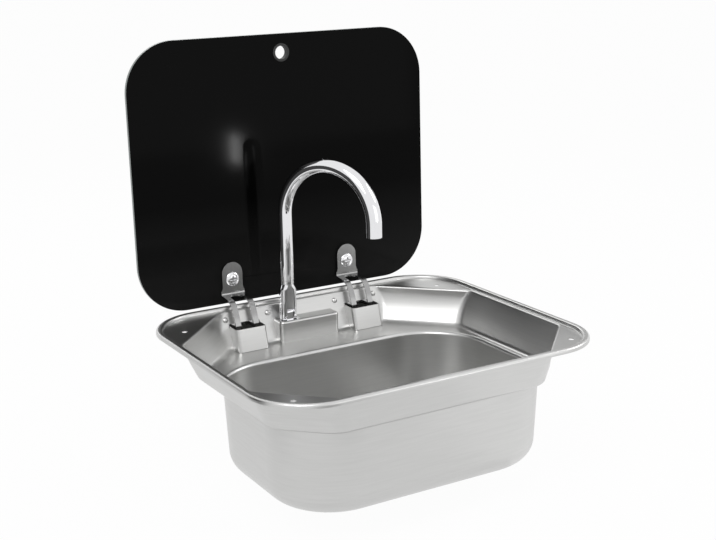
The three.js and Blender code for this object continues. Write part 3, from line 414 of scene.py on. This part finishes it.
levels, flats = pressing_levels()
basin = loft("basin_piece", levels[::-1] + pushed(levels, flats, -SHEET))
tub = loft("tub", pushed(levels, flats, -SHEET / 2)[flats[1]:])
deck = deck_block((-DECK_HALF, DECK_FRONT, LEDGE - SHEET / 2), (DECK_HALF, HALF_DEPTH, DECK_TOP),
                  DECK_CORNER, DECK_EDGE)
carve(tub, deck, "INTERSECT")
carve(basin, tub, "UNION")
inside = DECK_HALF - SHEET
carve(basin, deck_block((-inside, DECK_FRONT + SHEET, LEDGE - 9), (inside, 220, DECK_TOP - SHEET),
                        DECK_CORNER - SHEET, DECK_EDGE - SHEET))
rivet_y = HALF_DEPTH - OPENING - come_in(BACK_SLOPE, RIVET_Z)
for hinge in (-HINGE_X, HINGE_X):
    carve(basin, block((hinge - WINDOW_HALF, WINDOW_FRONT, LEDGE - 9),
                       (hinge + WINDOW_HALF, 200, WINDOW_TOP)))
    for x in (hinge + math.copysign(RIVET_OUTER, hinge), hinge - math.copysign(RIVET_INNER, hinge)):
        carve(basin, rod(RIVET_BORE, (x, rivet_y, RIVET_Z), 12, (math.pi / 2 - LEAN, 0, 0), 24))
carve(basin, rod(SHANK_BORE, (TAP_X, TAP_Y, DECK_TOP), 10))
for x in (-FIX_X, FIX_X):
    for y in (FIX_FRONT, FIX_BACK):
        carve(basin, rod(FIX_BORE, (x, y, 0), 6))
carve(basin, rod(DISH_BORE, (0, WASTE_Y, BOWL_FLOOR), 10, sides=64))
dish = [(41, 0), (39, 0), (35, -3), (26, -3), (26, -3 - SHEET), (34.6, -3 - SHEET),
        (38.6, -SHEET), (41, -SHEET), (41, 0)]
carve(basin, turned("dish", [(r, BOWL_FLOOR + z) for r, z in dish], 0, WASTE_Y), "UNION")
fit(basin, "basin", "sink", pressed, angle=30)


# ---- Waste: pressed flange with a rubber seal above the sheet and a fibre gasket, moulded body,
# nut and tail below it, drawn together by one screw. The rubber plug stands in the flange's cup.
def ease_edges(piece, width, angle, segments=2):
    """Round every edge that turns by more than an angle."""
    ease = piece.modifiers.new("ease", "BEVEL")
    ease.width = width * MM
    ease.segments = segments
    ease.limit_method = "ANGLE"
    ease.angle_limit = math.radians(angle)
    bpy.context.view_layer.objects.active = piece
    bpy.ops.object.modifier_apply(modifier="ease")


def from_solid(name, edge=0.0, segments=2):
    """A turned or moulded piece: a copy of its solid, merged, with its edges eased."""
    piece = bpy.data.objects.new(name + "_piece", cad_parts[name].data.copy())
    scene.collection.objects.link(piece)
    edit(piece)
    bpy.ops.mesh.remove_doubles(threshold=0.02 * MM)
    bpy.ops.mesh.dissolve_limited(angle_limit=math.radians(0.4))
    bpy.ops.object.mode_set(mode="OBJECT")
    if edge:
        ease_edges(piece, edge, 50, segments)
    return piece


# Polypropylene as it leaves the mould: warm off-white, half matt, with a fine spark texture of
# 0.4 mm, drawn at 0.8 mm.
moulded, tree, shader, place = surface("moulded_polypropylene", Roughness=0.5)
spark = add(tree, "ShaderNodeTexNoise", {"Vector": place}, i_Scale=1 / 0.0008, i_Detail=2.0)
bump = add(tree, "ShaderNodeBump", {"Height": spark.outputs["Fac"]},
           i_Strength=0.15, i_Distance=0.0001)
tint = add(tree, "ShaderNodeMix", {"Factor": spark.outputs["Fac"]}, data_type="RGBA",
           i_A=linear("#C4C3BC"), i_B=linear("#CFCEC8"))
tree.links.new(tint.outputs["Result"], shader.inputs["Base Color"])
tree.links.new(bump.outputs["Normal"], shader.inputs["Normal"])

# Nitrile rubber from a blasted mould: near black, matt, with a soft 0.6 mm grain.
rubber, tree, shader, place = surface("moulded_nitrile_rubber", IOR=1.52)
grain = add(tree, "ShaderNodeTexNoise", {"Vector": place}, i_Scale=1 / 0.0006, i_Detail=2.0)
dull = add(tree, "ShaderNodeMapRange", {"Value": grain.outputs["Fac"]}, i_To_Min=0.5, i_To_Max=0.7)
tint = add(tree, "ShaderNodeMix", {"Factor": grain.outputs["Fac"]}, data_type="RGBA",
           i_A=linear("#131313"), i_B=linear("#1C1C1C"))
tree.links.new(tint.outputs["Result"], shader.inputs["Base Color"])
tree.links.new(dull.outputs["Result"], shader.inputs["Roughness"])

# Rolled stainless strip, 2.2 mm, linished: darker than the pressed sheet, with fine upright
# scratches 0.2 mm wide, drawn 0.6 mm wide.
linished, tree, shader, place = surface("linished_stainless_strip", Metallic=1.0)
along = add(tree, "ShaderNodeMapping", {"Vector": place}, i_Scale=(1600, 60, 60))
scratch = add(tree, "ShaderNodeTexNoise", {"Vector": along.outputs["Vector"]},
              i_Scale=1.0, i_Detail=2.0)
rough = add(tree, "ShaderNodeMapRange", {"Value": scratch.outputs["Fac"]},
            i_To_Min=0.2, i_To_Max=0.26)
tint = add(tree, "ShaderNodeMix", {"Factor": scratch.outputs["Fac"]}, data_type="RGBA",
           i_A=linear("#969696"), i_B=linear("#A8A8A8"))
tree.links.new(tint.outputs["Result"], shader.inputs["Base Color"])
tree.links.new(rough.outputs["Result"], shader.inputs["Roughness"])

fit(from_solid("waste_flange", 0.15), "waste_flange", "sink", pressed)
fit(from_solid("waste_screw", 0.2), "waste_screw", "sink", linished)
for name in ("waste_body", "waste_nut", "waste_tail"):
    fit(from_solid(name, 0.3), name, "sink", moulded)
for name, body in (("waste_seal", "sink"), ("waste_gasket", "sink"), ("waste_plug", "plug")):
    fit(from_solid(name, 0.2), name, body, rubber)

# ---- Hinge housings: pockets of 1 mm pressed stainless that fill the two windows, their front
# sheet leaning back like the wall, each held by two dome-headed rivets and crossed by its pin.
HOUSING_HALF = 20.5
SOLID_HALF = 22
CHEEK_INSIDE = 12
PIN_HEAD_REACH = 3.2
FRONT_SHEET = 141.1
FRONT_LEAN = 0.27
FRONT_FOOT = -42.7
FRONT_SHIFT = -2.5


def reshape(piece, hinge, lean):
    """Draw a housing or its pin in to its true width, and lean the housing's front sheet back."""
    for point in piece.data.vertices:
        x, y, z = point.co / MM
        if CHEEK_INSIDE < abs(x - hinge) < HOUSING_HALF + PIN_HEAD_REACH:
            x = hinge + math.copysign(abs(x - hinge) - (SOLID_HALF - HOUSING_HALF), x - hinge)
        if lean and y < FRONT_SHEET:
            y += FRONT_LEAN * (z - FRONT_FOOT) + FRONT_SHIFT
        point.co = Vector((x, y, z)) * MM


for side, hinge in (("left", -HINGE_X), ("right", HINGE_X)):
    housing = from_solid("hinge_housing_" + side)
    reshape(housing, hinge, True)
    ease_edges(housing, 0.4, 40)
    fit(housing, "hinge_housing_" + side, "sink", pressed)
    pin = from_solid("hinge_pin_" + side)
    reshape(pin, hinge, False)
    fit(pin, "hinge_pin_" + side, "sink", linished)
    for number in ("_1", "_2"):
        name = "housing_rivet_" + side + number
        fit(from_solid(name), name, "sink", pressed, angle=60)

# ---- Hinge brackets: 2.2 mm stainless strip, a 27 mm plate on the glass folded sharply into a
# wider flange, which runs down in two arms to the pin. A rubber gasket lies under the plate.
# They are drawn with the lid shut, from the hinge axis, and then turned up.
PIVOT_Y = 173.4
PIVOT_Z = -17.3
PIVOT = Vector((0, PIVOT_Y, PIVOT_Z))
OPEN_ANGLE = math.radians(91)
STRIP = 2.2
PLATE_FACE = 14.8
PLATE_HALF = 13.5
PLATE_ROUND = -59.4
PLATE_NECK = -42.1
FLANGE_HALF = 15.5
FLANGE_START = -35.1
EYE_RADIUS = 4.5
PIN_BORE = 2.09
SPOKE_HALF = 2.25
GAP_HALF = 8.3
GAP_SPRING = 4.9
SCREW_REACH = 51.5
SCREW_BORE = 2.9
GASKET_SHARE = 26 / 30


def open_up(piece):
    """Turn a piece that was drawn in the closed place up to the open one."""
    edit(piece)
    bpy.ops.transform.rotate(value=OPEN_ANGLE, orient_axis="X", center_override=PIVOT * MM)
    bpy.ops.object.mode_set(mode="OBJECT")


def prism(name, points, axis, low, high):
    """A flat shape from the hinge axis, square to x, y or z (0, 1 or 2), and extruded along it."""
    corners = []
    for pair in points:
        corner = list(pair)
        corner.insert(axis, low)
        corners.append((Vector(corner) + PIVOT) * MM)
    piece = draw(name, corners, [], [tuple(range(len(corners)))])
    step = Vector((0, 0, 0))
    step[axis] = high - low
    edit(piece)
    bpy.ops.mesh.extrude_region_move(TRANSFORM_OT_translate={"value": step * MM})
    bpy.ops.mesh.select_all(action="SELECT")
    bpy.ops.mesh.normals_make_consistent(inside=False)
    bpy.ops.object.mode_set(mode="OBJECT")
    return piece


def curve_through(knots):
    """Points on a smooth curve that passes through the knots, five to a span."""
    out = []
    last = len(knots) - 1
    for k in range(last):
        near = (knots[max(k - 1, 0)], knots[k], knots[k + 1], knots[min(k + 2, last)])
        for j in range(5):
            t = j / 5
            out.append(tuple(0.5 * (2 * b + (c - a) * t + (2 * a - 5 * b + 4 * c - d) * t * t
                                    + (3 * b - a - 3 * c + d) * t ** 3)
                             for a, b, c, d in zip(*near)))
    return out + [knots[-1]]


plan = [(FLANGE_HALF, FLANGE_START), (-FLANGE_HALF, FLANGE_START), (-PLATE_HALF, PLATE_NECK)]
for angle in range(0, 181, 9):
    t = math.radians(angle)
    plan.append((-PLATE_HALF * math.cos(t), PLATE_ROUND - PLATE_HALF * math.sin(t)))
plan.append((PLATE_HALF, PLATE_NECK))
bracket = prism("bracket", plan, 2, PLATE_FACE, PLATE_FACE + STRIP)

bend = [(-37.6, 15.9), (-34.6, 15.9), (-33.3, 15.75), (-32.3, 15.25), (-31.65, 14.4)]
sweep = [(-31.4, 13.7), (-30.7, 7), (-30, 1.6), (-28.4, -6), (-24, -11.6), (-17.2, -15.4),
         (-8.7, -19), (2.25, -22)]
path = bend + curve_through(sweep)
front, rear = [], []
for k, (y, z) in enumerate(path):
    before, after = path[max(k - 1, 0)], path[min(k + 1, len(path) - 1)]
    run, rise = after[0] - before[0], after[1] - before[1]
    length = math.hypot(run, rise)
    front.append((y - STRIP / 2 * rise / length, z + STRIP / 2 * run / length))
    rear.append((y + STRIP / 2 * rise / length, z - STRIP / 2 * run / length))
arms = prism("arms", front + rear[::-1], 0, -FLANGE_HALF, FLANGE_HALF)
spoke = [(-SPOKE_HALF, -23.1), (SPOKE_HALF, -23.1), (SPOKE_HALF, 0), (-SPOKE_HALF, 0)]
carve(arms, prism("spoke", spoke, 0, 0.1 - FLANGE_HALF, FLANGE_HALF - 0.1), "UNION")
carve(arms, rod(EYE_RADIUS, PIVOT, 2 * FLANGE_HALF, (0, math.pi / 2, 0), 40), "UNION")
arch = [(GAP_HALF * math.cos(math.radians(a)), GAP_HALF * math.sin(math.radians(a)) + GAP_SPRING)
        for a in range(0, 181, 10)]
carve(arms, prism("gap", arch + [(-GAP_HALF, -60), (GAP_HALF, -60)], 1, -60, 40))
carve(bracket, arms, "UNION")
carve(bracket, rod(PIN_BORE, PIVOT, 40, (0, math.pi / 2, 0), 32))
carve(bracket, rod(SCREW_BORE, PIVOT + Vector((0, -SCREW_REACH, 16)), 10, sides=32))
ease_edges(bracket, 0.65, 40, segments=3)
open_up(bracket)
for side, hinge in (("left", -HINGE_X), ("right", HINGE_X)):
    piece = bpy.data.objects.new("hinge_bracket_" + side + "_piece", bracket.data.copy())
    scene.collection.objects.link(piece)
    piece.data.transform(Matrix.Translation((hinge * MM, 0, 0)))
    fit(piece, "hinge_bracket_" + side, "lid", linished)
    gasket = from_solid("bracket_gasket_" + side, 0.1)
    for point in gasket.data.vertices:
        point.co.x = hinge * MM + (point.co.x - hinge * MM) * GASKET_SHARE
    fit(gasket, "bracket_gasket_" + side, "lid", rubber)
bpy.data.objects.remove(bracket)

# ---- Glass lid: 5 mm tempered glass with black enamel fired on its back and a ground, polished
# edge. It stands 91 degrees open on the hinge axis. A rubber grommet lines the finger hole.
LID_HALF = 200.25
LID_DEPTH = 323
LID_CORNER = 60.5
GLASS = 5
LID_BACK = PIVOT_Y - 20.9
LID_LOW = PIVOT_Z + 18.6
LID_MIDDLE = LID_LOW + GLASS / 2
FINGER_Y = LID_BACK - LID_DEPTH + 22.7
FINGER_BORE = 9.3
BUSH_BORE = 5

# Float glass over black enamel: nearly black, with a clean soft-edged mirror on its face. The
# polish varies a little, in patches 60 mm across, and its lowest third, where it meets the basin,
# is painted a lighter grey: a painted reflection of the bright basin below.
enamelled, tree, shader, place = surface("black_enamelled_tempered_glass", IOR=1.52,
                                         Specular_IOR_Level=0.04)
height = add(tree, "ShaderNodeSeparateXYZ", {"Vector": place})
# Painted reflection: the glass turns from black to lighter grey towards its lowest third, standing
# in for the basin mirrored in it.
painted_reflection_band = add(tree, "ShaderNodeMapRange", {"Value": height.outputs["Z"]},
           i_From_Min=0.13, i_From_Max=0.03)
tint = add(tree, "ShaderNodeMix", {"Factor": painted_reflection_band.outputs["Result"]}, data_type="RGBA",
           i_A=linear("#050505"), i_B=linear("#1C1C1C"))
patch = add(tree, "ShaderNodeTexNoise", {"Vector": place}, i_Scale=1 / 0.06, i_Detail=2.0)
gloss = add(tree, "ShaderNodeMapRange", {"Value": patch.outputs["Fac"]},
            i_To_Min=0.07, i_To_Max=0.1)
tree.links.new(tint.outputs["Result"], shader.inputs["Base Color"])
tree.links.new(gloss.outputs["Result"], shader.inputs["Roughness"])

# The ground edge of the same glass: grey-green where the light enters, with 1 mm grinding marks.
ground, tree, shader, place = surface("ground_glass_edge", IOR=1.52, Roughness=0.35)
marks = add(tree, "ShaderNodeTexNoise", {"Vector": place}, i_Scale=1 / 0.001, i_Detail=1.0)
tint = add(tree, "ShaderNodeMix", {"Factor": marks.outputs["Fac"]}, data_type="RGBA",
           i_A=linear("#6E7472"), i_B=linear("#868C8A"))
tree.links.new(tint.outputs["Result"], shader.inputs["Base Color"])


def on_rim(point):
    """Whether a corner point of the glass, in mm, lies on its outline or at one of its holes."""
    x, y = abs(point.x), abs(point.y - LID_BACK + LID_DEPTH / 2)
    end = LID_DEPTH / 2 - LID_CORNER
    return (x > LID_HALF - 1.25 or y > LID_DEPTH / 2 - 1 or
            y > end - 1 and math.hypot(x - LID_HALF + LID_CORNER, max(y - end, 0)) > LID_CORNER - 1)


lid = block((-LID_HALF, LID_BACK - LID_DEPTH, LID_LOW), (LID_HALF, LID_BACK, LID_LOW + GLASS))
lid.name = "glass_lid_piece"
edit(lid)
choose_edges(upright)
bpy.ops.mesh.bevel(offset=LID_CORNER * MM, segments=24, affect="EDGES")
bpy.ops.object.mode_set(mode="OBJECT")
carve(lid, rod(FINGER_BORE, (0, FINGER_Y, LID_MIDDLE), 20, sides=56))
for hinge in (-HINGE_X, HINGE_X):
    carve(lid, rod(BUSH_BORE, (hinge, PIVOT_Y - SCREW_REACH, LID_MIDDLE), 20))
edit(lid)
choose_edges(lambda ends: abs(ends[0].z - ends[1].z) < 0.01 and all(map(on_rim, ends)))
bpy.ops.mesh.bevel(offset=0.7 * MM, segments=2, affect="EDGES")
bpy.ops.object.mode_set(mode="OBJECT")
open_up(lid)
fit(lid, "glass_lid", "lid", enamelled)
lid.data.materials.append(ground)
for face in lid.data.polygons:
    face.material_index = 0 if abs(face.normal.y) > 0.9 else 1

sleeve = [(8, -1.1), (10.6, -1.1), (11, -0.8), (11, -0.3), (9, -0.3), (9, 5.3), (11, 5.3),
          (11, 5.8), (10.6, 6.1), (8, 6.1), (8, -1.1)]
grommet = turned("lid_grommet_piece", [(r, LID_LOW + z) for r, z in sleeve], 0, FINGER_Y)
open_up(grommet)
fit(grommet, "lid_grommet", "lid", rubber)

# ---- Lid screws: chromed pan-head screws with a cross recess, one through each bracket and the
# glass, in a plastic bush, with a plastic washer and a chromed cap nut behind.

# Bright nickel-chrome plate over a ground blank: a hard mirror, very slightly blurred where it
# has been wiped, in streaks some 15 mm apart.
chrome, tree, shader, place = surface("bright_chrome_plate", Base_Color=linear("#E6E6E8"),
                                      Metallic=1.0)
wiped = add(tree, "ShaderNodeTexNoise", {"Vector": place}, i_Scale=1 / 0.015, i_Detail=2.0)
gloss = add(tree, "ShaderNodeMapRange", {"Value": wiped.outputs["Fac"]},
            i_To_Min=0.03, i_To_Max=0.07)
tree.links.new(gloss.outputs["Result"], shader.inputs["Roughness"])

for side in ("left", "right"):
    for name, edge in (("lid_screw_" + side, 0.2), ("lid_nut_" + side, 0.3)):
        fit(from_solid(name, edge), name, "lid", chrome, angle=40)
    for name in ("lid_bush_" + side, "lid_washer_" + side):
        fit(from_solid(name, 0.15), name, "lid", moulded)

# ---- Tap foot: plated brass. The base stands on the deck, sealed and drawn down by a nut below;
# the fork folds back over the base's tongue on a steel pin, and ends above in a spigot.
for name, body, edge in (("tap_base", "sink", 0.25), ("tap_inlet", "sink", 0.0),
                         ("tap_fork", "tap_foot", 0.5)):
    fit(from_solid(name, edge, segments=3), name, body, chrome, angle=45)
for name, body in (("tap_washer", "sink"), ("tap_nut", "sink"), ("fold_pin", "tap_foot")):
    fit(from_solid(name, 0.2), name, body, linished)
fit(from_solid("tap_seal", 0.2), "tap_seal", "sink", rubber)

# ---- Spout: 17.2 mm brass tube bent to a half circle of 63 mm radius and plated, a little wider
# at its mouth. It turns on the fork's spigot over a loose ring; a moulded aerator closes it.
TUBE_RADIUS = 8.6
TUBE_WALL = 1.2
TUBE_LIP = 0.4
TUBE_FOOT = 34.6
ARCH_SPRING = 116.3
ARCH_RADIUS = 63.4
MOUTH_DROP = 13.9
MOUTH_FLARE = 0.1047
SPOUT_TURN = math.radians(26)

section = [(6.5, 29.3), (8, 29.3), (8.3, 29.6), (8.3, 34), (8, 34.3), (6.5, 34.3), (6.5, 29.3)]
collar = turned("swivel_collar_piece", section, TAP_X, TAP_Y)
fit(collar, "swivel_collar", "spout", chrome)

away = Matrix.Rotation(SPOUT_TURN, 3, "Z") @ Vector((0, -1, 0))
foot = Vector((TAP_X, TAP_Y, TUBE_FOOT)) * MM
spring = Vector((TAP_X, TAP_Y, ARCH_SPRING)) * MM
middle = spring + away * ARCH_RADIUS * MM
lip = Vector((0, 0, TUBE_LIP * MM))
bpy.ops.object.select_all(action="DESELECT")
bpy.ops.mesh.primitive_circle_add(vertices=64, radius=TUBE_RADIUS * MM, location=foot)
spout = settle(bpy.context.object)
spout.name = "tap_spout_piece"
edit(spout)
for step in (lip, spring - foot - lip):
    bpy.ops.mesh.extrude_region_move(TRANSFORM_OT_translate={"value": step})
bpy.ops.mesh.spin(steps=48, angle=math.pi, center=middle, axis=away.cross(Vector((0, 0, 1))))
for step in (Vector((0, 0, -MOUTH_DROP * MM)), -lip):
    bpy.ops.mesh.extrude_region_move(TRANSFORM_OT_translate={"value": step})
close_up()
for point in spout.data.vertices:
    low = point.co.z < spring.z
    if low and (point.co - spring).dot(away) < 30 * MM:
        continue
    reach = (point.co - middle).dot(away)
    turn = math.pi if low else math.atan2(point.co.z - spring.z, -reach)
    heart = (middle - away * (math.cos(turn) * ARCH_RADIUS * MM)
             + Vector((0, 0, math.sin(turn) * ARCH_RADIUS * MM)))
    if low:
        heart.z = point.co.z
    point.co = heart + (point.co - heart) * (1 + MOUTH_FLARE * turn / math.pi)
wall = spout.modifiers.new("wall", "SOLIDIFY")
wall.thickness = TUBE_WALL * MM
wall.offset = -1
bpy.context.view_layer.objects.active = spout
bpy.ops.object.modifier_apply(modifier="wall")
fit(spout, "tap_spout", "spout", chrome, angle=40)
fit(from_solid("aerator", 0.1), "aerator", "spout", moulded)

# ---- Studio: a pale seamless room that reads as white in the picture and in reflections, one
# broad lamp over the left shoulder, smaller ones from the right and behind, and dark and bright
# cards that only the polished metal and the glass mirror.
FLOOR_DROP = 0.002
CARD_LEVEL = -0.184


def looked_at(tree):
    """One for a ray from the camera, a reflection or through glass, and nought for the rest."""
    path = add(tree, "ShaderNodeLightPath").outputs
    seen = add(tree, "ShaderNodeMath", {0: path["Is Camera Ray"], 1: path["Is Glossy Ray"]},
               operation="MAXIMUM")
    return add(tree, "ShaderNodeMath", {0: seen.outputs[0], 1: path["Is Transmission Ray"]},
               operation="MAXIMUM").outputs[0]


room = bpy.data.worlds.new("pale_room")
scene.world = room
room.use_nodes = True
tree = room.node_tree
tree.nodes.clear()
fill = add(tree, "ShaderNodeBackground", i_Color=linear("#FFFFFF"), i_Strength=0.55)
white = add(tree, "ShaderNodeBackground", i_Color=linear("#FFFFFF"), i_Strength=1.0)
mixed = add(tree, "ShaderNodeMixShader",
            {0: looked_at(tree), 1: fill.outputs[0], 2: white.outputs[0]})
add(tree, "ShaderNodeOutputWorld", {"Surface": mixed.outputs[0]})

for name, place, aim, size, power in (
    ("key", (-1.1, -0.9, 1.5), (0, 0, 0), (1.1, 1.1), 15),
    ("side", (1.5, -0.4, 1.0), (0, 0, 0), (0.8, 0.6), 6),
    ("back", (0.2, 1.6, 1.2), (0, 0, 0), (1.0, 1.0), 5),
    ("strip", (0.438, -0.885, 0.03), (-0.066, 0.192, 0.19), (0.015, 0.06), 0.2),
):
    lamp = bpy.data.lights.new(name, "AREA")
    lamp.shape = "RECTANGLE"
    lamp.size, lamp.size_y = size
    lamp.energy = power
    stand = bpy.data.objects.new(name, lamp)
    stand.location = place
    stand.rotation_mode = "QUATERNION"
    stand.rotation_quaternion = (Vector(aim) - Vector(place)).to_track_quat("-Z", "Y")
    stand.visible_camera = False
    scene.collection.objects.link(stand)

# Matt white paper, lit to white where it is looked at, so that only the object's shadow shows.
paper = bpy.data.materials.new("white_paper_sweep")
paper.use_nodes = True
tree = paper.node_tree
tree.nodes.clear()
matt = add(tree, "ShaderNodeBsdfDiffuse", i_Color=linear("#F4F4F4"))
bright = add(tree, "ShaderNodeEmission", i_Color=linear("#FFFFFF"), i_Strength=1.0)
veil = add(tree, "ShaderNodeMath", {0: looked_at(tree)}, operation="MULTIPLY")
veil.inputs[1].default_value = 0.96
mixed = add(tree, "ShaderNodeMixShader",
            {0: veil.outputs[0], 1: matt.outputs[0], 2: bright.outputs[0]})
add(tree, "ShaderNodeOutputMaterial", {"Surface": mixed.outputs[0]})
bpy.ops.object.select_all(action="DESELECT")
bpy.ops.mesh.primitive_plane_add(size=24, location=(0, 0, cad_box[0].z - FLOOR_DROP))
floor = bpy.context.object
floor.name = "floor"
floor.data.materials.append(paper)
floor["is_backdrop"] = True

# Cards on stands, each a flat rectangle given by its four corners.
for name, strength, corners in (
    ("front_card", 0.06, ((-0.32, -0.60, CARD_LEVEL), (0.15, -0.60, CARD_LEVEL),
                          (0.15, -0.95, CARD_LEVEL), (-0.32, -0.95, CARD_LEVEL))),
    ("left_card", 0.06, ((-0.60, -0.05, CARD_LEVEL), (-0.60, 0.50, CARD_LEVEL),
                         (-0.60, 0.50, 0.30), (-0.60, -0.05, 0.30))),
    ("far_card", 0.12, ((1.05, 0.50, 0.20), (0.72, 0.86, 0.20),
                        (0.72, 0.86, 0.45), (1.05, 0.50, 0.45))),
    ("glow_card", 1.45, ((1.05, 0.50, -0.12), (0.72, 0.86, -0.12),
                         (0.72, 0.86, 0.17), (1.05, 0.50, 0.17))),
    ("bounce_card", 1.1, ((0.14, -0.58, CARD_LEVEL), (0.60, -0.58, CARD_LEVEL),
                          (0.60, -0.10, CARD_LEVEL), (0.14, -0.10, CARD_LEVEL))),
    ("fill_card", 1.5, ((0.05, -0.98, 0.02), (0.95, -0.98, 0.02),
                        (0.95, -0.98, 0.50), (0.05, -0.98, 0.50))),
):
    felt = bpy.data.materials.new(name + "_cloth")
    felt.use_nodes = True
    tree = felt.node_tree
    tree.nodes.clear()
    shade = add(tree, "ShaderNodeEmission", i_Color=linear("#FFFFFF"), i_Strength=strength)
    add(tree, "ShaderNodeOutputMaterial", {"Surface": shade.outputs[0]})
    card = draw(name, corners, [], [(0, 1, 2, 3)])
    card.data.materials.append(felt)
    card.visible_camera = False
    card.visible_diffuse = False
    card.visible_transmission = False
    card.visible_shadow = False
    card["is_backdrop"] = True

size = {"cad": [list(p) for p in cad_box], "visual": [list(p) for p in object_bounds()]}
